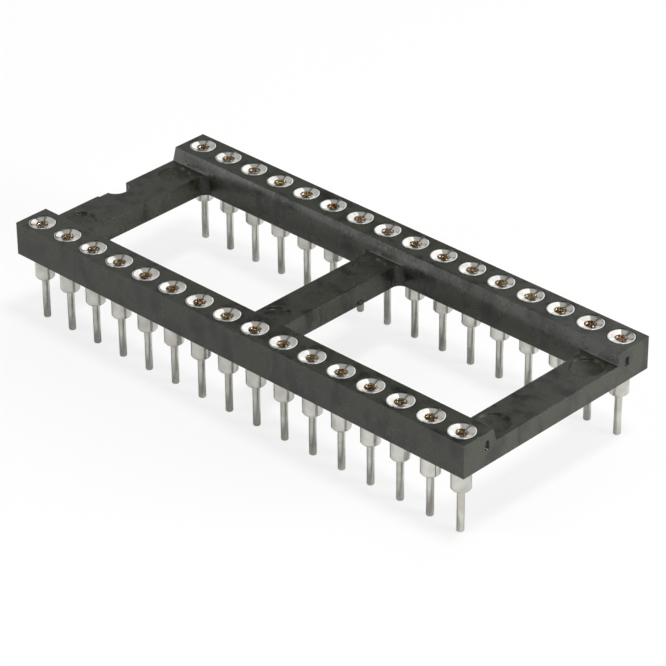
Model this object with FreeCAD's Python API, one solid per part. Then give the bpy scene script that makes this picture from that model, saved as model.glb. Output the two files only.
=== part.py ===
import FreeCAD, Part
import math
import os

os.makedirs("parts", exist_ok=True)
Vector = FreeCAD.Vector

# Socket for a 32-lead dual in-line chip: an open moulded frame that holds turned contacts.
# Millimetres. Z is up, and z = 0 is the face of the circuit board that the contacts stand on.
# The origin is the middle of the contact grid. X runs along the rows, and the key notch is at -X.

# Contact grid
contacts_per_row = 16
pitch = 2.54
row_spacing = 15.24

# Moulded frame
frame_standoff = 1.78
frame_height = 2.41
rail_outer_margin = 1.23
rail_inner_margin = 1.47
rail_inner_lean = 0.28
bar_drop = 0.95
notch_bar_width = 3.15
middle_bar_width = 2.75
plain_bar_width = 2.90
window_corner_radius = 0.65
notch_radius = 0.93
notch_offset = 0.37
nick_width = 0.80
nick_depth = 0.15

# Turned sleeve of a contact
head_diameter = 1.83
head_cone_height = 0.55
barrel_diameter = 1.35
bore_diameter = 0.88
funnel_depth = 0.12
bore_depth = 3.30
tail_diameter = 0.51
tail_length = 3.18
press_clearance = 0.01

# Sprung clip inside a sleeve
clip_leaves = 4
clip_wall = 0.06
clip_length = 1.60
clip_throat_diameter = 0.36
clip_set_down = 0.16
clip_clearance = 0.01

# A turned surface is drawn with this many flats, except the tail, which is a true cylinder.
flats = 10

# Places that follow from the sizes above
frame_top = frame_standoff + frame_height
frame_length = contacts_per_row * pitch
frame_width = row_spacing + 2 * rail_outer_margin
bar_top = frame_top - bar_drop
rail_top_edge = row_spacing / 2 - rail_inner_margin
rail_foot_edge = rail_top_edge - rail_inner_lean
head_radius = head_diameter / 2
barrel_radius = barrel_diameter / 2
bore_radius = bore_diameter / 2
head_foot = frame_top - head_cone_height
funnel_foot = frame_top - funnel_depth
bore_floor = frame_top - bore_depth
past = 1.0


def polygon_face(points):
    return Part.Face(Part.makePolygon(points + points[:1]))


def ring(radius, height, sides):
    """Corners of a regular polygon about the Z axis, with a flat towards +X."""
    turn = 2 * math.pi / sides
    angles = [(corner + 0.5) * turn for corner in range(sides)]
    return [Vector(radius * math.cos(a), radius * math.sin(a), height) for a in angles]


def turned(profile, sides):
    """A solid turned about Z: the profile's (radius, height) pairs run from one end face to the other."""
    rings = [ring(radius, height, sides) for radius, height in profile]
    faces = [polygon_face(rings[0]), polygon_face(rings[-1])]
    for first, second in zip(rings, rings[1:]):
        for k in range(sides):
            following = (k + 1) % sides
            corners = [first[k], first[following], second[following], second[k]]
            faces.append(polygon_face(corners))
    return Part.makeSolid(Part.makeShell(faces))


def box(low, high):
    size = [b - a for a, b in zip(low, high)]
    return Part.makeBox(*size, Vector(*low))


def contact_places():
    """Grid points, up the near row from the notched end and then along the far row."""
    first = -(contacts_per_row - 1) * pitch / 2
    columns = [first + k * pitch for k in range(contacts_per_row)]
    return [Vector(x, y, 0) for y in (-row_spacing / 2, row_spacing / 2) for x in columns]


def relief_between_rails():
    """The space above the bars: its sides lean, as the rails' inner faces do."""
    rise = past / bar_drop * rail_inner_lean
    section = [
        Vector(0, -rail_foot_edge, bar_top),
        Vector(0, rail_foot_edge, bar_top),
        Vector(0, rail_top_edge + rise, frame_top + past),
        Vector(0, -rail_top_edge - rise, frame_top + past),
    ]
    length = frame_length + 2 * past
    relief = polygon_face(section).extrude(Vector(length, 0, 0))
    relief.translate(Vector(-length / 2, 0, 0))
    return relief


def window(x_low, x_high):
    """An opening right through the frame, with rounded corners where bars and rails meet."""
    low = (x_low, -rail_foot_edge, frame_standoff - past)
    high = (x_high, rail_foot_edge, bar_top + past)
    block = box(low, high)
    spans = [(edge, edge.BoundBox) for edge in block.Edges]
    upright = [edge for edge, span in spans if span.ZLength > max(span.XLength, span.YLength)]
    return block.makeFillet(window_corner_radius, upright)


def contact_hole():
    """A straight hole with a countersink that the sleeve's head seats in."""
    profile = [
        (barrel_radius + press_clearance, frame_standoff - past),
        (barrel_radius + press_clearance, head_foot),
        (head_radius + press_clearance, frame_top),
        (head_radius + press_clearance, frame_top + past),
    ]
    return turned(profile, flats)


def key_notch():
    """Half-round notch in the outer side of the notched bar, and the small nick beside it."""
    end = -frame_length / 2
    low = frame_standoff - past
    height = frame_height + 2 * past
    notch = Part.makeCylinder(notch_radius, height, Vector(end, notch_offset, low))
    nick_side = notch_offset - notch_radius
    nick = box(
        (end - past, nick_side - nick_width, low),
        (end + nick_depth, nick_side + nick_depth, low + height),
    )
    return notch.fuse(nick)


def moulded_frame():
    """Two rails joined by three lower bars, in one moulding."""
    half_length, half_width = frame_length / 2, frame_width / 2
    frame = box(
        (-half_length, -half_width, frame_standoff),
        (half_length, half_width, frame_top),
    )
    holes = []
    for place in contact_places():
        hole = contact_hole()
        hole.translate(place)
        holes.append(hole)
    cutters = [
        relief_between_rails(),
        window(-half_length + notch_bar_width, -middle_bar_width / 2),
        window(middle_bar_width / 2, half_length - plain_bar_width),
        key_notch(),
    ]
    return frame.cut(cutters + holes).removeSplitter()


def contact_sleeve():
    """Turned sleeve: funnel and blind bore in a flush head, a barrel that stands on the board, a tail."""
    profile = [
        (barrel_radius, 0),
        (barrel_radius, head_foot),
        (head_radius, frame_top),
        (bore_radius, funnel_foot),
        (bore_radius, bore_floor),
    ]
    tail = Part.makeCylinder(tail_diameter / 2, tail_length, Vector(0, 0, -tail_length))
    return turned(profile, flats).fuse(tail).removeSplitter()


def contact_clip():
    """Leaves joined in a collar under the funnel, which lean in to a throat that grips a lead.

    They are one wall thick at the collar and thin out to their tips.
    """
    top = funnel_foot - clip_set_down
    foot = top - clip_length
    throat_corner = clip_throat_diameter / 2 / math.cos(math.pi / clip_leaves)
    collar_corner = bore_radius * math.cos(math.pi / flats) - clip_clearance
    wall_corner = clip_wall / math.cos(math.pi / clip_leaves)
    outside = turned([(throat_corner, foot), (collar_corner, top)], clip_leaves)
    inside = turned([(throat_corner, foot), (collar_corner - wall_corner, top)], clip_leaves)
    return outside.cut(inside)


def export(shape, name):
    shape.exportStep(f"parts/{name}.step")


export(moulded_frame(), "moulded_frame")
for number, place in enumerate(contact_places(), start=1):
    sleeve = contact_sleeve()
    sleeve.translate(place)
    export(sleeve, f"contact_sleeve_{number:02d}")
for row in range(2):
    clips = []
    for place in contact_places()[row * contacts_per_row:(row + 1) * contacts_per_row]:
        clip = contact_clip()
        clip.translate(place)
        clips.append(clip)
    export(Part.makeCompound(clips), ("near_row_clips", "far_row_clips")[row])
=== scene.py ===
"""Looks of an open-frame chip socket with 32 turned contacts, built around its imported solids.

Metres, in the solids' own frame: z = 0 is the board's face, X runs along the rows of contacts,
and the key notch is at -X.
"""

import math

import bmesh
import bpy
from bpy.props import FloatProperty, IntProperty, PointerProperty, StringProperty
from mathutils import Matrix, Vector


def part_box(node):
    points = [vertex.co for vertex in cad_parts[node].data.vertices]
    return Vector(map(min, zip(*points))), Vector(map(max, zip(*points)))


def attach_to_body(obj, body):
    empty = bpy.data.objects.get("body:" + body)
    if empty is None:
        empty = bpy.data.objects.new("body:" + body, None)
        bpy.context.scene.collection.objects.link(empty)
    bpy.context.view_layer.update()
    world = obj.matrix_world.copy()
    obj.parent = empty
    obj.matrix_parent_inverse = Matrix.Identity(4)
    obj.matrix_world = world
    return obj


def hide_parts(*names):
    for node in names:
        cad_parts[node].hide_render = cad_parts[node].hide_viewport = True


bl_info = {
    "name": "Turned-contact chip socket",
    "version": (1, 0, 0),
    "blender": (4, 5, 0),
    "location": "3D View > Sidebar > Chip socket",
    "description": "Moulded frame, turned sleeves and sprung clips of an open-frame chip socket",
    "category": "Object",
}

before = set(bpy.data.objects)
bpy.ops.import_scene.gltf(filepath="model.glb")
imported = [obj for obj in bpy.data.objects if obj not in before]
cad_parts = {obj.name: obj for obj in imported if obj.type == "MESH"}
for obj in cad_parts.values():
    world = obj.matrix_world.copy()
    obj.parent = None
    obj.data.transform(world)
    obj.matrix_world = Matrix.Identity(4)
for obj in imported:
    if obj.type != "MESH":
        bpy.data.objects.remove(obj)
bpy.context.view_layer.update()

MM = 0.001
PAST = 1.0 * MM  # how far a cutter reaches past what it cuts
UP = (0, 0, 1)
BEHIND = (-0.693, 0.72, 0)  # level, straight away from the camera

# Name, direction from the socket, width and height in metres, level, and the axis that the height
# lies along. The two long back lamps leave a dark strip between them, which the rails' tops mirror.
LAMPS = (
    ("overhead_softbox", (0.22, 0.02, 0.975), 0.08, 0.08, 0.55, UP),
    ("front_softbox", (-0.36, -0.57, 0.74), 0.16, 0.16, 0.10, UP),
    ("back_right_softbox", (-0.176, 0.69, 0.70), 0.20, 0.62, 0.225, (-0.50, 0.91, 0)),
    ("back_left_softbox", (-0.74, 0.10, 0.66), 0.24, 0.56, 0.10, BEHIND),
    ("back_top_softbox", (-0.263, 0.274, 0.92), 0.16, 0.16, 0.016, UP),
    ("right_softbox", (0.89, 0.34, 0.22), 0.24, 0.15, 1.35, UP),
    ("front_left_softbox", (-0.55, -0.80, 0.18), 0.24, 0.12, 0.42, UP),
)

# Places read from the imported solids
frame_low, frame_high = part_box("moulded_frame")
sleeve_nodes = sorted(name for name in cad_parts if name.startswith("contact_sleeve_"))
clip_nodes = sorted(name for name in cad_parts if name.endswith("_row_clips"))
sleeve_low, sleeve_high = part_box(sleeve_nodes[0])
clip_low, clip_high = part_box(clip_nodes[0])
contact_places = [(low + high) / 2 for low, high in (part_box(name) for name in sleeve_nodes)]
contacts_per_row = len(sleeve_nodes) // 2
row_length = contact_places[contacts_per_row - 1].x - contact_places[0].x
row_spacing = contact_places[-1].y - contact_places[0].y
head_width = sleeve_high.y - sleeve_low.y


def size(name, description, default):
    """A length that a user may change, in metres."""
    return FloatProperty(
        name=name, description=description, default=default, unit="LENGTH", precision=5,
    )


def colour(name, description, default):
    """A colour that a user may change, written as an sRGB hex value."""
    return StringProperty(name=name, description=description, default=default)


def degrees(name, description, default):
    """An angle that a user may change."""
    return FloatProperty(
        name=name, description=description, default=math.radians(default), subtype="ANGLE",
    )


def share(name, description, default):
    """A part of a whole that a user may change."""
    return FloatProperty(
        name=name, description=description, default=default, min=0, max=1, subtype="FACTOR",
    )


def count(name, description, default, least=0):
    """A whole number that a user may change."""
    return IntProperty(name=name, description=description, default=default, min=least)


def linear(hex_colour):
    """Linear red, green, blue and alpha of an sRGB hex value such as #3a3c38."""
    channels = [int(hex_colour[k:k + 2], 16) / 255 for k in (1, 3, 5)]
    return [c / 12.92 if c <= 0.04045 else ((c + 0.055) / 1.055) ** 2.4 for c in channels] + [1.0]


class MouldingSettings(bpy.types.PropertyGroup):
    """Sizes and colours of the moulded frame."""

    bar_drop: size("Bar drop", "How far the bars lie below the rails' tops", 0.95 * MM)
    rail_top_edge: size("Rail top edge", "Inner edge of a rail's top, from the middle", 6.15 * MM)
    rail_foot_edge: size("Rail foot edge", "Inner face of a rail at the bars, from the middle", 5.87 * MM)
    notch_bar_width: size("Notched bar width", "Bar that holds the key notch", 3.15 * MM)
    middle_bar_width: size("Middle bar width", "Bar between the windows", 2.75 * MM)
    plain_bar_width: size("Plain bar width", "Bar at the far end from the notch", 2.90 * MM)
    bar_draft: size("Bar draft", "How much a bar's side leans from its foot to its top", 0.10 * MM)
    window_corner: size("Window corner", "Radius in the corners of the windows", 0.65 * MM)
    notch_radius: size("Notch radius", "Half-round key notch", 0.93 * MM)
    notch_offset: size("Notch offset", "Notch centre from the middle line", 0.37 * MM)
    nick_width: size("Nick width", "Shallow nick beside the notch", 0.80 * MM)
    nick_depth: size("Nick depth", "Depth of that nick", 0.15 * MM)
    edge_radius: size("Edge radius", "Rounding that the mould leaves on every edge", 0.06 * MM)
    barrel_hole: size("Barrel hole", "Width of the hole under the countersink", 1.37 * MM)
    countersink_depth: size("Countersink depth", "Depth of the seat for a contact's head", 0.55 * MM)
    head_gap: size("Head gap", "Gap around a seated head at the rail's top", 0.05 * MM)
    hole_facets: count("Hole facets", "Faces around a contact's hole", 40, least=12)
    ejector_radius: size("Ejector mark radius", "Round marks that the ejector pins leave", 1.15 * MM)
    ejector_depth: size("Ejector mark depth", "Depth of those marks", 0.16 * MM)
    ejector_offset: size("Ejector mark offset", "Marks from the middle line", 4.45 * MM)
    ejector_slope: size("Ejector mark slope", "Width of a mark's sloping wall", 0.12 * MM)
    ejector_flare: size("Ejector mark flare", "Width of the cutter's flare past a mark's lip", 0.10 * MM)
    ejector_facets: count("Ejector mark facets", "Faces around those marks", 48, least=12)
    dimple_width: size("Dimple width", "Plain dimples in the end face", 0.40 * MM)
    dimple_height: size("Dimple height", "Height of those dimples", 0.72 * MM)
    dimple_depth: size("Dimple depth", "Depth of those dimples", 0.15 * MM)
    dimple_offset: size("Dimple offset", "Dimples from the middle line", 6.72 * MM)
    dimple_rounding: share("Dimple rounding", "Radius of a dimple's corners by its half width", 0.95)
    gate_width: size("Gate stub width", "Stub where the plastic ran in", 0.50 * MM)
    gate_height: size("Gate stub height", "Height of that stub", 0.30 * MM)
    gate_reach: size("Gate stub reach", "How far the stub stands out", 0.14 * MM)
    gate_offset: size("Gate stub offset", "Stub from the middle line", 2.07 * MM)
    body_colour: colour("Body colour", "Black moulding compound", "#121310")
    bloom_colour: colour("Bloom colour", "Paler patches, where the glass lies near the skin", "#25271f")
    fleck_colour: colour("Fleck colour", "Ends of the glass fibres", "#4e4f48")


class SleeveSettings(bpy.types.PropertyGroup):
    """Sizes and colours of the turned sleeves."""

    barrel_diameter: size("Barrel diameter", "Barrel that stands on the board", 1.35 * MM)
    head_cone: size("Head cone", "Height of the cone under the rim", 0.55 * MM)
    rim_width: size("Rim width", "Rounded lip around the funnel", 0.11 * MM)
    bore_diameter: size("Bore diameter", "Blind bore for the clip", 0.88 * MM)
    funnel_depth: size("Funnel depth", "Depth of the cone that guides a lead into the bore", 0.12 * MM)
    bore_depth: size("Bore depth", "Depth of the blind bore", 3.30 * MM)
    tail_diameter: size("Tail diameter", "Solder tail", 0.51 * MM)
    tip_radius: size("Tip radius", "Rounding at the end of the tail", 0.10 * MM)
    edge_radius: size("Edge radius", "Rounding of the turned edges", 0.03 * MM)
    facets: count("Facets", "Faces around a sleeve", 40, least=12)
    seed: count("Seed", "Picks how each sleeve is turned in its hole", 3)
    colour: colour("Tin colour", "Bright tin plating", "#dddcd8")
    # Reached both by the random film and by the painted shade on the lower sleeves.
    stain_and_shade_colour: colour("Stain colour", "Darker film left by handling and flux", "#bdbab3")


class ClipSettings(bpy.types.PropertyGroup):
    """Sizes and colours of the sprung clips."""

    leaves: count("Leaves", "Sprung leaves in a clip", 4, least=3)
    collar_diameter: size("Collar diameter", "Closed ring that grips the bore", 0.86 * MM)
    wall: size("Wall", "Thickness of the strip", 0.05 * MM)
    collar_height: size("Collar height", "Closed ring at the top of a clip", 0.20 * MM)
    slot_width: size("Slot width", "Gap between two leaves at the collar", 0.05 * MM)
    leaf_share: share("Leaf share", "Part of the circle that the leaves fill at the throat", 0.55)
    shoulder: size("Shoulder", "Height over which a leaf leans in and narrows below the collar", 0.42 * MM)
    neck_share: share("Neck share", "Where a shoulder ends, on the way from throat to collar", 0.2)
    throat_diameter: size("Throat diameter", "Narrowest place between the leaves", 0.36 * MM)
    tip_share: share("Tip share", "Part of a leaf below its shoulder that turns out again", 0.2)
    tip_flare: size("Tip flare", "How far the tips turn out again", 0.04 * MM)
    seed: count("Seed", "Picks how each clip is turned in its bore", 7)
    colour: colour("Gold colour", "Gold plating on the clip", "#f3dca8")
    shade_colour: colour("Shade colour", "Thin plating with the bronze showing through", "#a4602c")
    collar_colour: colour("Collar colour", "Collar, rubbed bright where the bore grips it", "#dcd7ca")


class StageSettings(bpy.types.PropertyGroup):
    """Floor, lights and the photograph's camera."""

    azimuth: degrees("Azimuth", "Camera's turn about Z", 43.88)
    elevation: degrees("Elevation", "Camera's height angle", 31.05)
    roll: degrees("Roll", "Camera's roll", -0.382)
    lens: FloatProperty(name="Lens", description="Focal length in millimetres", default=178.43)
    sensor_width: FloatProperty(name="Sensor width", description="In millimetres", default=36.0)
    distance: size("Distance", "Camera from the middle of the rails' tops", 217.0 * MM)
    shift_right: size("Shift right", "Camera's place across its view", 0.660 * MM)
    shift_up: size("Shift up", "Camera's place up its view", -3.642 * MM)
    floor_size: size("Floor size", "Width of the floor", 1.6)
    floor_colour: colour("Floor colour", "Pale paper", "#d4d5d3")
    lamp_distance: size("Lamp distance", "Lamps from the middle of the contact grid", 0.42)
    camera_lift: share("Camera lift", "Plain white in the floor that the camera sees", 0.8)


def add_node(tree, kind, links=None, **settings):
    """Adds a node. The links give an input either a value or another node's output."""
    node = tree.nodes.new(kind)
    for name, value in settings.items():
        setattr(node, name, value)
    for key, source in (links or {}).items():
        socket = node.inputs[key]
        if isinstance(source, bpy.types.NodeSocket):
            tree.links.new(source, socket)
        else:
            socket.default_value = source
    return node


def new_material(name):
    """An empty material and its node tree."""
    material = bpy.data.materials.new(name)
    material.use_nodes = True
    tree = material.node_tree
    tree.nodes.clear()
    return material, tree


def object_place(tree):
    """Coordinates on the object, in metres."""
    return add_node(tree, "ShaderNodeTexCoord").outputs["Object"]


def finish_material(tree, shader):
    add_node(tree, "ShaderNodeOutputMaterial", {"Surface": shader.outputs[0]})


def ramp(tree, factor, stops):
    """A colour ramp with the given (place, colour) stops."""
    node = add_node(tree, "ShaderNodeValToRGB", {"Fac": factor})
    elements = node.color_ramp.elements
    while len(elements) < len(stops):
        elements.new(0.5)
    for element, (place, tint) in zip(elements, stops):
        element.position = place
        element.color = tint
    return node.outputs["Color"]


def black_moulding(settings):
    """Glass-filled polyester, moulded black.

    The skin is fine and half matt. The glass leaves paler patches and small flecks in it, and the
    sheen is uneven where the plastic cooled against the steel.
    """
    material, tree = new_material("glass_filled_polyester_black")
    place = object_place(tree)
    body, bloom = linear(settings.body_colour), linear(settings.bloom_colour)
    # Cloudy patches, between one and two millimetres wide.
    patches = add_node(tree, "ShaderNodeTexNoise", {
        "Vector": place, "Scale": 1 / (1.6 * MM), "Detail": 4.0, "Roughness": 0.6,
    })
    # Glass fibres are about 0.01 mm thick, too fine to show, so their flecks are drawn at 0.10 mm.
    # They lie along the rails, as the plastic flowed.
    flow = add_node(tree, "ShaderNodeMapping", {"Vector": place, "Scale": (0.35, 1.0, 1.0)})
    fibres = add_node(tree, "ShaderNodeTexNoise", {
        "Vector": flow.outputs[0], "Scale": 1 / (0.10 * MM), "Detail": 2.0, "Roughness": 0.5,
    })
    # Grain of the spark-eroded mould. It is about 0.02 mm, and is drawn at 0.06 mm so that it shows.
    grain = add_node(tree, "ShaderNodeTexNoise", {
        "Vector": place, "Scale": 1 / (0.06 * MM), "Detail": 3.0, "Roughness": 0.6,
    })
    # Upright streaks on the sides, a little under a millimetre apart.
    upright = add_node(tree, "ShaderNodeMapping", {"Vector": place, "Scale": (1.0, 1.0, 0.25)})
    streaks = add_node(tree, "ShaderNodeTexNoise", {
        "Vector": upright.outputs[0], "Scale": 1 / (0.9 * MM), "Detail": 3.0, "Roughness": 0.6,
    })
    blotches = add_node(tree, "ShaderNodeMath", {
        0: patches.outputs["Fac"], 1: streaks.outputs["Fac"],
    }, operation="ADD")
    tone = ramp(tree, blotches.outputs[0], [(0.80, body), (1.10, bloom)])
    fleck = ramp(tree, fibres.outputs["Fac"], [(0.62, (0, 0, 0, 1)), (0.76, (1, 1, 1, 1))])
    faint_fleck = add_node(tree, "ShaderNodeMath", {0: fleck, 1: 0.25}, operation="MULTIPLY")
    skin = add_node(tree, "ShaderNodeMix", {
        "Factor": faint_fleck.outputs[0], "A": tone, "B": linear(settings.fleck_colour),
    }, data_type="RGBA")
    sheen = add_node(tree, "ShaderNodeMapRange", {
        "Value": patches.outputs["Fac"], "From Min": 0.3, "From Max": 0.7, "To Min": 0.20, "To Max": 0.32,
    })
    bump = add_node(tree, "ShaderNodeBump", {
        "Strength": 0.5, "Distance": 0.008 * MM, "Height": grain.outputs["Fac"],
    })
    shader = add_node(tree, "ShaderNodeBsdfPrincipled", {
        "Base Color": skin.outputs["Result"],
        "Roughness": sheen.outputs["Result"],
        "IOR": 1.52,
        "Specular IOR Level": 0.43,
        "Normal": bump.outputs[0],
    })
    finish_material(tree, shader)
    return material


def bright_tin(settings):
    """Turned brass with bright tin plating over nickel.

    The lathe leaves fine rings across the part, and the soft tin takes a thin, darker film in places.
    The barrels and tails below the frame are also painted darker with the same colour, which is painted
    shade.
    """
    material, tree = new_material("turned_brass_bright_tin")
    place = object_place(tree)
    # The tool's rings are about 0.015 mm apart, and are drawn at 0.035 mm so that they show.
    across = add_node(tree, "ShaderNodeMapping", {"Vector": place, "Scale": (0.02, 0.02, 1.0)})
    rings = add_node(tree, "ShaderNodeTexNoise", {
        "Vector": across.outputs[0], "Scale": 1 / (0.035 * MM), "Detail": 2.0, "Roughness": 0.6,
    })
    # The film comes and goes about once across a head.
    film = add_node(tree, "ShaderNodeTexNoise", {
        "Vector": place, "Scale": 1 / (0.9 * MM), "Detail": 2.0, "Roughness": 0.5,
    })
    height = add_node(tree, "ShaderNodeSeparateXYZ", {0: place}).outputs["Z"]
    # Painted shade: the sleeves are painted darker from 0.5 mm under the rails' tops down to the frame's
    # underside, and evenly so below it.
    painted_shade_below_frame = add_node(tree, "ShaderNodeMapRange", {
        "Value": height,
        "From Min": frame_high.z - 0.5 * MM,
        "From Max": frame_low.z,
        "To Min": 0.0,
        "To Max": 0.2,
    })
    # The random film plus the painted shade below the frame.
    film_and_painted_shade = add_node(tree, "ShaderNodeMath", {
        0: film.outputs["Fac"], 1: painted_shade_below_frame.outputs["Result"],
    }, operation="ADD")
    tone = ramp(tree, film_and_painted_shade.outputs[0], [
        (0.40, linear(settings.colour)),
        (0.85, linear(settings.stain_and_shade_colour)),
    ])
    polish = add_node(tree, "ShaderNodeMapRange", {
        "Value": film.outputs["Fac"], "From Min": 0.3, "From Max": 0.7, "To Min": 0.09, "To Max": 0.16,
    })
    bump = add_node(tree, "ShaderNodeBump", {
        "Strength": 0.3, "Distance": 0.0012 * MM, "Height": rings.outputs["Fac"],
    })
    shader = add_node(tree, "ShaderNodeBsdfPrincipled", {
        "Base Color": tone,
        "Metallic": 1.0,
        "Roughness": polish.outputs["Result"],
        "Normal": bump.outputs[0],
    })
    finish_material(tree, shader)
    return material


def gold_strip(settings):
    """Beryllium copper strip, stamped and formed, with thin gold plating.

    The gold is warm and satin, and redder where it is thin over the copper alloy. The collar is
    rubbed bright where it is pressed into the bore.
    """
    material, tree = new_material("beryllium_copper_gold_flash")
    place = object_place(tree)
    # The plating is thin in places about half as wide as the bore.
    wear = add_node(tree, "ShaderNodeTexNoise", {
        "Vector": place, "Scale": 1 / (0.45 * MM), "Detail": 2.0, "Roughness": 0.5,
    })
    worn = ramp(tree, wear.outputs["Fac"], [
        (0.42, linear(settings.colour)),
        (0.62, linear(settings.shade_colour)),
    ])
    height = add_node(tree, "ShaderNodeSeparateXYZ", {0: place}).outputs["Z"]
    collar_foot = clip_high.z - settings.collar_height
    rubbed = add_node(tree, "ShaderNodeMapRange", {
        "Value": height, "From Min": collar_foot - 0.06 * MM, "From Max": collar_foot,
    })
    tone = add_node(tree, "ShaderNodeMix", {
        "Factor": rubbed.outputs["Result"], "A": worn, "B": linear(settings.collar_colour),
    }, data_type="RGBA").outputs["Result"]
    polish = add_node(tree, "ShaderNodeMapRange", {
        "Value": wear.outputs["Fac"], "From Min": 0.3, "From Max": 0.7, "To Min": 0.16, "To Max": 0.34,
    })
    shader = add_node(tree, "ShaderNodeBsdfPrincipled", {
        "Base Color": tone,
        "Metallic": 1.0,
        "Roughness": polish.outputs["Result"],
    })
    finish_material(tree, shader)
    return material


def new_piece(name, shape, material=None):
    """Puts a bmesh into a new object at the origin."""
    bmesh.ops.recalc_face_normals(shape, faces=shape.faces)
    mesh = bpy.data.meshes.new(name)
    shape.to_mesh(mesh)
    shape.free()
    piece = bpy.data.objects.new(name, mesh)
    bpy.context.scene.collection.objects.link(piece)
    if material:
        mesh.materials.append(material)
    return piece


def remove_piece(piece):
    mesh = piece.data
    bpy.data.objects.remove(piece)
    bpy.data.meshes.remove(mesh)


def apply_modifiers(piece):
    """Swaps the piece's mesh for the evaluated one and clears its modifiers."""
    evaluated = piece.evaluated_get(bpy.context.evaluated_depsgraph_get())
    mesh = bpy.data.meshes.new_from_object(evaluated)
    before = piece.data
    piece.modifiers.clear()
    piece.data = mesh
    mesh.name = piece.name
    bpy.data.meshes.remove(before)


def rounded(corners, steps=5):
    """Points of an outline, with an arc at each corner. A corner is (across, up, radius)."""
    points = []
    for k, (across, up, radius) in enumerate(corners):
        corner = Vector((across, up))
        if not radius:
            points.append(corner)
            continue
        last = (Vector(corners[k - 1][:2]) - corner).normalized()
        following = (Vector(corners[(k + 1) % len(corners)][:2]) - corner).normalized()
        half = last.angle(following) / 2
        centre = corner + (last + following).normalized() * radius / math.sin(half)
        start = (corner + last * radius / math.tan(half) - centre).normalized()
        end = (corner + following * radius / math.tan(half) - centre).normalized()
        points += [centre + radius * start.slerp(end, step / steps) for step in range(steps + 1)]
    return points


def turned(profile, facets):
    """A closed shape turned about Z. The profile runs from one point on the axis to another."""
    shape = bmesh.new()
    rings = []
    for radius, height in profile:
        on_axis = radius < 1e-9
        angles = [2 * math.pi * k / facets for k in range(1 if on_axis else facets)]
        rings.append([shape.verts.new((radius * math.cos(a), radius * math.sin(a), height)) for a in angles])
    for first, second in zip(rings, rings[1:]):
        for k in range(facets):
            j = k + 1
            corners = [
                first[k % len(first)], first[j % len(first)],
                second[j % len(second)], second[k % len(second)],
            ]
            shape.faces.new(list(dict.fromkeys(corners)))
    return shape


def prism(sections):
    """A closed shape that runs through sections with the same number of points."""
    shape = bmesh.new()
    rings = [[shape.verts.new(point) for point in section] for section in sections]
    for first, second in zip(rings, rings[1:]):
        for k in range(len(first)):
            j = (k + 1) % len(first)
            shape.faces.new([first[k], first[j], second[j], second[k]])
    shape.faces.new(rings[0])
    shape.faces.new(rings[-1])
    return shape


def cut(piece, cutters):
    """Takes the cutters away from the piece, one after another."""
    for cutter in cutters:
        modifier = piece.modifiers.new("cut", "BOOLEAN")
        modifier.operation = "DIFFERENCE"
        modifier.solver = "EXACT"
        modifier.object = cutter
    apply_modifiers(piece)
    for cutter in cutters:
        remove_piece(cutter)


def contact_grid_tree():
    """Geometry nodes that put a copy of the mesh at every contact place."""
    tree = bpy.data.node_groups.new("contact_grid", "GeometryNodeTree")
    sockets = [
        ("Piece", "NodeSocketGeometry"),
        ("Row length", "NodeSocketFloat"),
        ("Row spacing", "NodeSocketFloat"),
        ("Contacts per row", "NodeSocketInt"),
        ("Random turn", "NodeSocketFloat"),
        ("Seed", "NodeSocketInt"),
        ("Material", "NodeSocketMaterial"),
    ]
    for name, kind in sockets:
        tree.interface.new_socket(name, in_out="INPUT", socket_type=kind)
    tree.interface.new_socket("Pieces", in_out="OUTPUT", socket_type="NodeSocketGeometry")
    given = add_node(tree, "NodeGroupInput").outputs
    grid = add_node(tree, "GeometryNodeMeshGrid", {
        "Size X": given["Row length"],
        "Size Y": given["Row spacing"],
        "Vertices X": given["Contacts per row"],
        "Vertices Y": 2,
    })
    least = add_node(tree, "ShaderNodeMath", {0: given["Random turn"], 1: -1.0}, operation="MULTIPLY")
    # The node has sockets for each data type under the same names, so they are found by number.
    float_min, float_max, float_value = 2, 3, 1
    turn = add_node(tree, "FunctionNodeRandomValue", {
        float_min: least.outputs[0], float_max: given["Random turn"], "Seed": given["Seed"],
    }, data_type="FLOAT")
    about_z = add_node(tree, "ShaderNodeCombineXYZ", {"Z": turn.outputs[float_value]})
    placed = add_node(tree, "GeometryNodeInstanceOnPoints", {
        "Points": grid.outputs["Mesh"], "Instance": given["Piece"], "Rotation": about_z.outputs[0],
    })
    real = add_node(tree, "GeometryNodeRealizeInstances", {"Geometry": placed.outputs[0]})
    dressed = add_node(tree, "GeometryNodeSetMaterial", {
        "Geometry": real.outputs[0], "Material": given["Material"],
    })
    add_node(tree, "NodeGroupOutput", {"Pieces": dressed.outputs[0]})
    return tree


def repeat_on_grid(piece, random_turn=0.0, seed=0, material=None):
    """Repeats the piece at every contact place and keeps the result as a plain mesh."""
    tree = bpy.data.node_groups.get("contact_grid") or contact_grid_tree()
    modifier = piece.modifiers.new("contact_grid", "NODES")
    modifier.node_group = tree
    values = {
        "Row length": row_length,
        "Row spacing": row_spacing,
        "Contacts per row": contacts_per_row,
        "Random turn": random_turn,
        "Seed": seed,
        "Material": material,
    }
    for item in tree.interface.items_tree:
        if item.in_out == "INPUT" and item.name in values and values[item.name] is not None:
            modifier[item.identifier] = values[item.name]
    apply_modifiers(piece)


def shade(piece, sharp_angle):
    """Smooth shading that keeps edges steeper than the angle, and keeps flat faces flat."""
    piece.data.shade_smooth()
    piece.data.set_sharp_from_angle(angle=sharp_angle)
    weighting = piece.modifiers.new("weighted_normals", "WEIGHTED_NORMAL")
    weighting.keep_sharp = True
    apply_modifiers(piece)


def attach(piece, nodes):
    """Puts a finished piece under the root body, and hides the solids that it stands for."""
    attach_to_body(piece, "root")
    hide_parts(*nodes)


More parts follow.
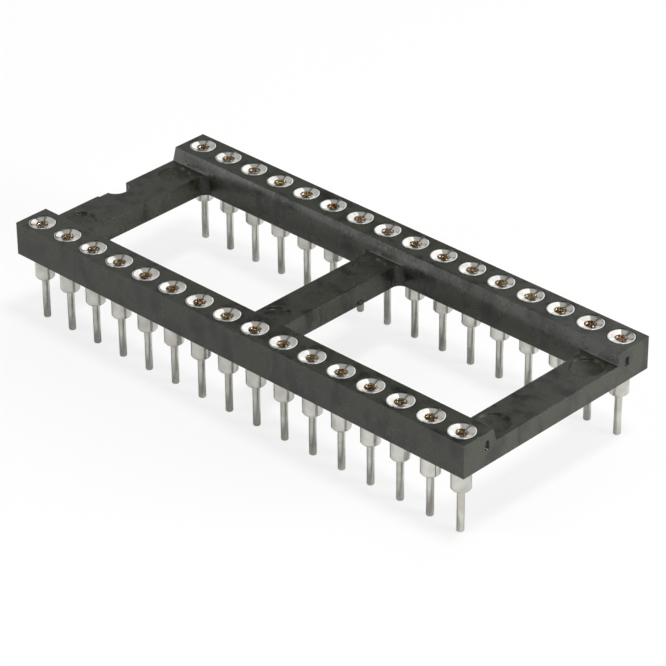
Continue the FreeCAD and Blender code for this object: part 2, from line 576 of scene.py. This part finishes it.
def frame_outline(settings):
    """The frame's outline from above, with the key notch and the nick beside it."""
    low, high = frame_low, frame_high
    steps = 16
    deepest = math.asin(settings.nick_depth / settings.notch_radius)
    outline = [(low.x, low.y), (high.x, low.y), (high.x, high.y), (low.x, high.y)]
    for k in range(steps + 1):
        angle = math.pi / 2 - (math.pi - deepest) * k / steps
        outline.append((
            low.x + settings.notch_radius * math.cos(angle),
            settings.notch_offset + settings.notch_radius * math.sin(angle),
        ))
    nick_end = settings.notch_offset - settings.notch_radius - settings.nick_width
    return outline + [(low.x + settings.nick_depth, nick_end), (low.x, nick_end)]


def relief(settings):
    """Cutter for the space above the bars. Its sides lean, as the rails' inner faces do."""
    bar_top = frame_high.z - settings.bar_drop
    lean = (settings.rail_top_edge - settings.rail_foot_edge) / settings.bar_drop
    wide = settings.rail_top_edge + lean * PAST
    section = [
        (-settings.rail_foot_edge, bar_top),
        (settings.rail_foot_edge, bar_top),
        (wide, frame_high.z + PAST),
        (-wide, frame_high.z + PAST),
    ]
    ends = (frame_low.x - PAST, frame_high.x + PAST)
    return new_piece("relief", prism([[(x, y, z) for y, z in section] for x in ends]))


def window(settings, left, right):
    """Cutter for the opening between two bars. It widens upwards by the bars' draft."""
    bar_top = frame_high.z - settings.bar_drop
    sections = []
    for height in (frame_low.z - PAST, bar_top + PAST):
        spread = settings.bar_draft * ((height - frame_low.z) / (bar_top - frame_low.z) - 0.5)
        corners = [
            (left - spread, -settings.rail_foot_edge),
            (right + spread, -settings.rail_foot_edge),
            (right + spread, settings.rail_foot_edge),
            (left - spread, settings.rail_foot_edge),
        ]
        points = rounded([(x, y, settings.window_corner) for x, y in corners], steps=8)
        sections.append([(p.x, p.y, height) for p in points])
    return new_piece("window", prism(sections))


def round_edges(piece, radius):
    """Joins flat faces, and rounds every edge of the piece that turns by more than 20 degrees."""
    shape = bmesh.new()
    shape.from_mesh(piece.data)
    bmesh.ops.remove_doubles(shape, verts=shape.verts, dist=1e-7)
    bmesh.ops.dissolve_limit(shape, angle_limit=math.radians(0.5), verts=shape.verts, edges=shape.edges)
    sharp = [edge for edge in shape.edges if edge.calc_face_angle(0) > math.radians(20)]
    bmesh.ops.bevel(
        shape, geom=sharp, offset=radius, offset_type="OFFSET",
        segments=3, profile=0.5, affect="EDGES", clamp_overlap=True,
    )
    shape.to_mesh(piece.data)
    shape.free()


def moulding_blank(settings):
    """The frame before its holes: two rails, three lower bars, the key notch, and rounded edges."""
    outline = frame_outline(settings)
    heights = (frame_low.z, frame_high.z)
    blank = new_piece("frame_moulding", prism([[(x, y, z) for x, y in outline] for z in heights]))
    half_bar = settings.middle_bar_width / 2
    cut(blank, [
        relief(settings),
        window(settings, frame_low.x + settings.notch_bar_width, -half_bar),
        window(settings, half_bar, frame_high.x - settings.plain_bar_width),
    ])
    round_edges(blank, settings.edge_radius)
    return blank


def contact_hole(settings):
    """Cutter for a countersunk hole with a softened lip."""
    top = frame_high.z
    mouth = head_width / 2 + settings.head_gap
    lip = settings.edge_radius / 2
    corners = [
        (0, frame_low.z - PAST, 0),
        (settings.barrel_hole / 2 + PAST, frame_low.z - PAST, 0),
        (settings.barrel_hole / 2, frame_low.z + lip, 0),
        (settings.barrel_hole / 2, top - settings.countersink_depth, 0),
        (mouth, top - lip, 0),
        (mouth + lip + PAST, top + PAST, 0),
        (0, top + PAST, 0),
    ]
    return new_piece("contact_hole", turned(rounded(corners), settings.hole_facets))


def ejector_mark(settings, x, y):
    """Cutter for one shallow mark: a flat floor, a sloping wall and a softened lip."""
    bar_top = frame_high.z - settings.bar_drop
    mark_floor = bar_top - settings.ejector_depth
    soft = settings.ejector_slope / 4
    mouth = settings.ejector_radius + settings.ejector_flare
    corners = [
        (0, mark_floor, 0),
        (settings.ejector_radius - settings.ejector_slope, mark_floor, soft),
        (settings.ejector_radius, bar_top, soft),
        (mouth, bar_top + settings.ejector_flare / 4, 0),
        (mouth, bar_top + PAST / 2, 0),
        (0, bar_top + PAST / 2, 0),
    ]
    shape = turned(rounded(corners), settings.ejector_facets)
    bmesh.ops.translate(shape, verts=shape.verts, vec=(x, y, 0))
    return new_piece("ejector_mark", shape)


def end_dimple(settings, y):
    """Cutter for one plain upright dimple in the end face."""
    middle = frame_high.z - settings.bar_drop
    sections = []
    for side in (-1, 1):
        reach = settings.dimple_depth * side
        half_width = settings.dimple_width / 2 + reach / 2
        half_height = settings.dimple_height / 2 + reach / 2
        radius = settings.dimple_rounding * half_width
        corners = [
            (-half_width, -half_height, radius),
            (half_width, -half_height, radius),
            (half_width, half_height, radius),
            (-half_width, half_height, radius),
        ]
        points = rounded(corners, steps=6)
        sections.append([(frame_high.x + reach, y + p.x, middle + p.y) for p in points])
    return new_piece("end_dimple", prism(sections))


def add_gate_stub(piece, settings):
    """The broken-off stub at the foot of the middle bar, where the plastic ran into the mould."""
    side = settings.middle_bar_width / 2 + settings.bar_draft / 2
    foot = frame_low.z + settings.edge_radius
    stations = (
        (-settings.gate_reach, 1.0),
        (settings.gate_reach / 2, 0.95),
        (settings.gate_reach, 0.7),
    )
    sections = []
    for reach, part in stations:
        half, height = settings.gate_width / 2 * part, settings.gate_height * part
        corners = [(-half, 0), (half, 0), (half, height), (-half, height)]
        points = rounded([(a, b, height / 3) for a, b in corners], steps=3)
        sections.append([(side + reach, settings.gate_offset + p.x, foot + p.y) for p in points])
    stub = new_piece("gate_stub", prism(sections))
    join = piece.modifiers.new("join", "BOOLEAN")
    join.operation = "UNION"
    join.solver = "EXACT"
    join.object = stub
    apply_modifiers(piece)
    remove_piece(stub)


def moulding(settings):
    """The frame: blank, contact holes, ejector marks, plain dimples and the gate stub."""
    blank = moulding_blank(settings)
    holes = contact_hole(settings)
    repeat_on_grid(holes)
    cutters = [holes]
    bar_middles = [
        frame_low.x + settings.notch_bar_width / 2,
        0.0,
        frame_high.x - settings.plain_bar_width / 2,
    ]
    for x in bar_middles:
        for y in (-settings.ejector_offset, settings.ejector_offset):
            cutters.append(ejector_mark(settings, x, y))
    for y in (-settings.dimple_offset, settings.dimple_offset):
        cutters.append(end_dimple(settings, y))
    cut(blank, cutters)
    add_gate_stub(blank, settings)
    blank.data.materials.clear()
    blank.data.materials.append(black_moulding(settings))
    shade(blank, sharp_angle=math.radians(35))
    return blank


def sleeve(settings):
    """One turned sleeve, its axis on Z."""
    top, foot = sleeve_high.z, sleeve_low.z
    barrel, head, bore = settings.barrel_diameter / 2, head_width / 2, settings.bore_diameter / 2
    tail = settings.tail_diameter / 2
    soft = settings.edge_radius
    bore_floor = top - settings.bore_depth
    mouth = head - settings.rim_width
    funnel_top = top - soft / 3
    # The rim's outer corner stays sharp, because a rounded one sparkles where it meets the plastic.
    outside = [
        (0, foot, 0),
        (tail, foot, settings.tip_radius),
        (tail, -soft, soft),
        (barrel - 2 * soft, 0, 0),
        (barrel, 3 * soft, soft),
        (barrel, top - settings.head_cone, soft),
        (head, top - 0.7 * soft, 0),
        (head - settings.rim_width / 2, top, 1.5 * soft),
    ]
    steps = 6
    funnel = []
    for k in range(steps + 1):
        radius = mouth + (bore - mouth) * k / steps
        depth = (settings.funnel_depth - soft / 3) * k / steps
        funnel.append((radius, funnel_top - depth, 0))
    # The drill leaves a cone at the end of the bore.
    inside = [
        (bore, top - settings.funnel_depth - 2 * soft, 0),
        (bore, bore_floor, soft),
        (0, bore_floor - bore / 2, 0),
    ]
    return turned(rounded(outside + funnel + inside, steps=4), settings.facets)


def sleeves(settings):
    """All the sleeves, each at its place."""
    piece = new_piece("contact_sleeves", sleeve(settings))
    shade(piece, sharp_angle=math.radians(50))
    repeat_on_grid(piece, math.pi, settings.seed, bright_tin(settings))
    return piece


def clip(settings):
    """One sprung clip: a closed collar, and leaves that lean in to the throat and turn out at the tips."""
    top, foot = clip_high.z, clip_low.z
    collar = settings.collar_diameter / 2
    throat = settings.throat_diameter / 2
    leaf_top = top - settings.collar_height
    neck = leaf_top - settings.shoulder
    neck_radius = throat + settings.neck_share * (collar - throat)
    full_share = 1 - settings.leaves * settings.slot_width / (2 * math.pi * collar)
    rows = [(top, collar, full_share), (leaf_top, collar, full_share)]
    steps = 8
    for k in range(1, steps + 1):
        t = k / steps
        radius = collar + (neck_radius - collar) * math.sin(t * math.pi / 2)
        filled = full_share + (settings.leaf_share - full_share) * math.sin(t * math.pi / 2)
        rows.append((leaf_top - settings.shoulder * t, radius, filled))
    waist = foot + settings.tip_share * (neck - foot)
    rows.append((waist, throat, settings.leaf_share))
    rows.append((foot, throat + settings.tip_flare, settings.leaf_share))
    parts = 8
    columns = settings.leaves * (parts + 1)
    shape = bmesh.new()
    rings = []
    for height, radius, filled in rows:
        ring = []
        for column in range(columns):
            leaf, across = divmod(column, parts + 1)
            angle = 2 * math.pi / settings.leaves * (leaf + (across / parts - 0.5) * filled)
            ring.append(shape.verts.new((radius * math.cos(angle), radius * math.sin(angle), height)))
        rings.append(ring)
    for number, (first, second) in enumerate(zip(rings, rings[1:])):
        for k in range(columns):
            in_slot = k % (parts + 1) == parts
            if number and in_slot:
                continue
            j = (k + 1) % columns
            shape.faces.new([first[k], first[j], second[j], second[k]])
    return shape


def clips(settings):
    """All the clips, each turned at random in its bore."""
    piece = new_piece("contact_clips", clip(settings))
    wall = piece.modifiers.new("wall", "SOLIDIFY")
    wall.thickness = settings.wall
    wall.offset = -1.0
    apply_modifiers(piece)
    shade(piece, sharp_angle=math.radians(40))
    repeat_on_grid(piece, math.pi, settings.seed, gold_strip(settings))
    return piece


def floor(settings):
    """Pale paper under the socket. The camera sees it nearly white, with the socket's shadow kept."""
    half = settings.floor_size / 2
    corners = [(-half, -half), (half, -half), (half, half), (-half, half)]
    shape = bmesh.new()
    shape.faces.new([shape.verts.new((x, y, sleeve_low.z)) for x, y in corners])
    material, tree = new_material("pale_paper")
    seen = add_node(tree, "ShaderNodeLightPath").outputs["Is Camera Ray"]
    lift = add_node(tree, "ShaderNodeMath", {0: seen, 1: settings.camera_lift}, operation="MULTIPLY")
    paper = add_node(tree, "ShaderNodeBsdfDiffuse", {"Color": linear(settings.floor_colour)})
    white = add_node(tree, "ShaderNodeEmission", {"Color": linear("#ffffff"), "Strength": 1.0})
    mixed = add_node(tree, "ShaderNodeMixShader", {
        0: lift.outputs[0], 1: paper.outputs[0], 2: white.outputs[0],
    })
    finish_material(tree, mixed)
    piece = new_piece("floor", shape, material)


def studio_world():
    """Dim room with a pale horizon, brightest behind the socket. The camera sees a white backdrop."""
    world = bpy.data.worlds.new("studio")
    bpy.context.scene.world = world
    world.use_nodes = True
    tree = world.node_tree
    tree.nodes.clear()
    direction = add_node(tree, "ShaderNodeTexCoord").outputs["Generated"]
    height = add_node(tree, "ShaderNodeSeparateXYZ", {0: direction}).outputs["Z"]
    tone = ramp(tree, height, [
        (0.0, linear("#ffffff")),
        (0.16, linear("#e8e8e8")),
        (0.30, linear("#4b4b4b")),
    ])
    behind = add_node(tree, "ShaderNodeVectorMath", {
        0: direction, 1: BEHIND,
    }, operation="DOT_PRODUCT")
    strength = add_node(tree, "ShaderNodeMapRange", {
        "Value": behind.outputs["Value"], "From Min": -0.6, "From Max": 0.2, "To Min": 0.55, "To Max": 1.0,
    })
    room = add_node(tree, "ShaderNodeBackground", {"Color": tone, "Strength": strength.outputs["Result"]})
    backdrop = add_node(tree, "ShaderNodeBackground", {"Color": linear("#ffffff"), "Strength": 1.0})
    seen = add_node(tree, "ShaderNodeLightPath").outputs["Is Camera Ray"]
    sky = add_node(tree, "ShaderNodeMixShader", {
        0: seen, 1: room.outputs[0], 2: backdrop.outputs[0],
    })
    add_node(tree, "ShaderNodeOutputWorld", {"Surface": sky.outputs[0]})


def softbox(name, direction, width, height, level, along, distance):
    """A rectangular soft lamp that faces the socket, its height along the given axis.

    White paper that is turned to it looks as bright as the level.
    """
    lamp = bpy.data.lights.new(name, "AREA")
    lamp.shape = "RECTANGLE"
    lamp.size, lamp.size_y = width, height
    lamp.energy = 4 * math.pi * distance ** 2 * level
    towards = Vector(direction).normalized()
    tall = (Vector(along) - towards * towards.dot(Vector(along))).normalized()
    turn = Matrix((tall.cross(towards), tall, towards)).transposed().to_4x4()
    item = bpy.data.objects.new(name, lamp)
    item.matrix_world = Matrix.Translation(towards * distance) @ turn
    bpy.context.scene.collection.objects.link(item)


def studio_camera(settings):
    """The photograph's camera, set from its turn, height angle and roll about the rails' tops."""
    middle = Vector((0, 0, frame_high.z))
    azimuth, elevation = settings.azimuth, settings.elevation
    back = Vector((
        math.sin(azimuth) * math.cos(elevation),
        -math.cos(azimuth) * math.cos(elevation),
        math.sin(elevation),
    ))
    level_right = (-back).cross(Vector(UP)).normalized()
    level_up = back.cross(level_right)
    right = level_right * math.cos(settings.roll) + level_up * math.sin(settings.roll)
    up = level_up * math.cos(settings.roll) - level_right * math.sin(settings.roll)
    place = middle + back * settings.distance + right * settings.shift_right + up * settings.shift_up
    camera = bpy.data.objects.new("camera", bpy.data.cameras.new("camera"))
    camera.data.sensor_width = settings.sensor_width
    camera.data.lens = settings.lens
    camera.data.clip_start = 1 * MM
    camera.data.clip_end = 10
    turn = Matrix((right, up, back)).transposed().to_4x4()
    camera.matrix_world = Matrix.Translation(place) @ turn
    bpy.context.scene.collection.objects.link(camera)
    bpy.context.scene.camera = camera


class MouldingOperator(bpy.types.Operator):
    """Builds the moulded frame in place of its plain solid"""

    bl_idname = "chip_socket.moulding"
    bl_label = "Moulded frame"

    def execute(self, context):
        attach(moulding(context.scene.socket_moulding), ["moulded_frame"])
        return {"FINISHED"}


class SleevesOperator(bpy.types.Operator):
    """Builds the turned sleeves in place of their plain solids"""

    bl_idname = "chip_socket.sleeves"
    bl_label = "Turned sleeves"

    def execute(self, context):
        attach(sleeves(context.scene.socket_sleeves), sleeve_nodes)
        return {"FINISHED"}


class ClipsOperator(bpy.types.Operator):
    """Builds the sprung clips in place of their plain solids"""

    bl_idname = "chip_socket.clips"
    bl_label = "Sprung clips"

    def execute(self, context):
        attach(clips(context.scene.socket_clips), clip_nodes)
        return {"FINISHED"}


class StageOperator(bpy.types.Operator):
    """Sets the floor, the lights and the camera"""

    bl_idname = "chip_socket.stage"
    bl_label = "Stage"

    def execute(self, context):
        settings = context.scene.socket_stage
        floor(settings)
        studio_world()
        for lamp in LAMPS:
            softbox(*lamp, settings.lamp_distance)
        studio_camera(settings)
        return {"FINISHED"}


class SocketPanel(bpy.types.Panel):
    """Lists the socket's pieces in the sidebar"""

    bl_idname = "VIEW3D_PT_chip_socket"
    bl_label = "Chip socket"
    bl_space_type = "VIEW_3D"
    bl_region_type = "UI"
    bl_category = "Chip socket"

    def draw(self, context):
        groups = [
            (MouldingOperator, context.scene.socket_moulding),
            (SleevesOperator, context.scene.socket_sleeves),
            (ClipsOperator, context.scene.socket_clips),
            (StageOperator, context.scene.socket_stage),
        ]
        for operator, settings in groups:
            section = self.layout.box()
            section.operator(operator.bl_idname)
            for name in settings.__annotations__:
                section.prop(settings, name)


SETTINGS = {
    "socket_moulding": MouldingSettings,
    "socket_sleeves": SleeveSettings,
    "socket_clips": ClipSettings,
    "socket_stage": StageSettings,
}
OPERATORS = (MouldingOperator, SleevesOperator, ClipsOperator, StageOperator)


def register():
    for name, settings in SETTINGS.items():
        bpy.utils.register_class(settings)
        setattr(bpy.types.Scene, name, PointerProperty(type=settings))
    for item in (*OPERATORS, SocketPanel):
        bpy.utils.register_class(item)


def unregister():
    for item in (SocketPanel, *reversed(OPERATORS)):
        bpy.utils.unregister_class(item)
    for name, settings in SETTINGS.items():
        delattr(bpy.types.Scene, name)
        bpy.utils.unregister_class(settings)


def main():
    register()
    bpy.context.scene.view_settings.view_transform = "Standard"
    bpy.ops.chip_socket.moulding()
    bpy.ops.chip_socket.sleeves()
    bpy.ops.chip_socket.clips()
    bpy.ops.chip_socket.stage()


if __name__ == "__main__":
    main()
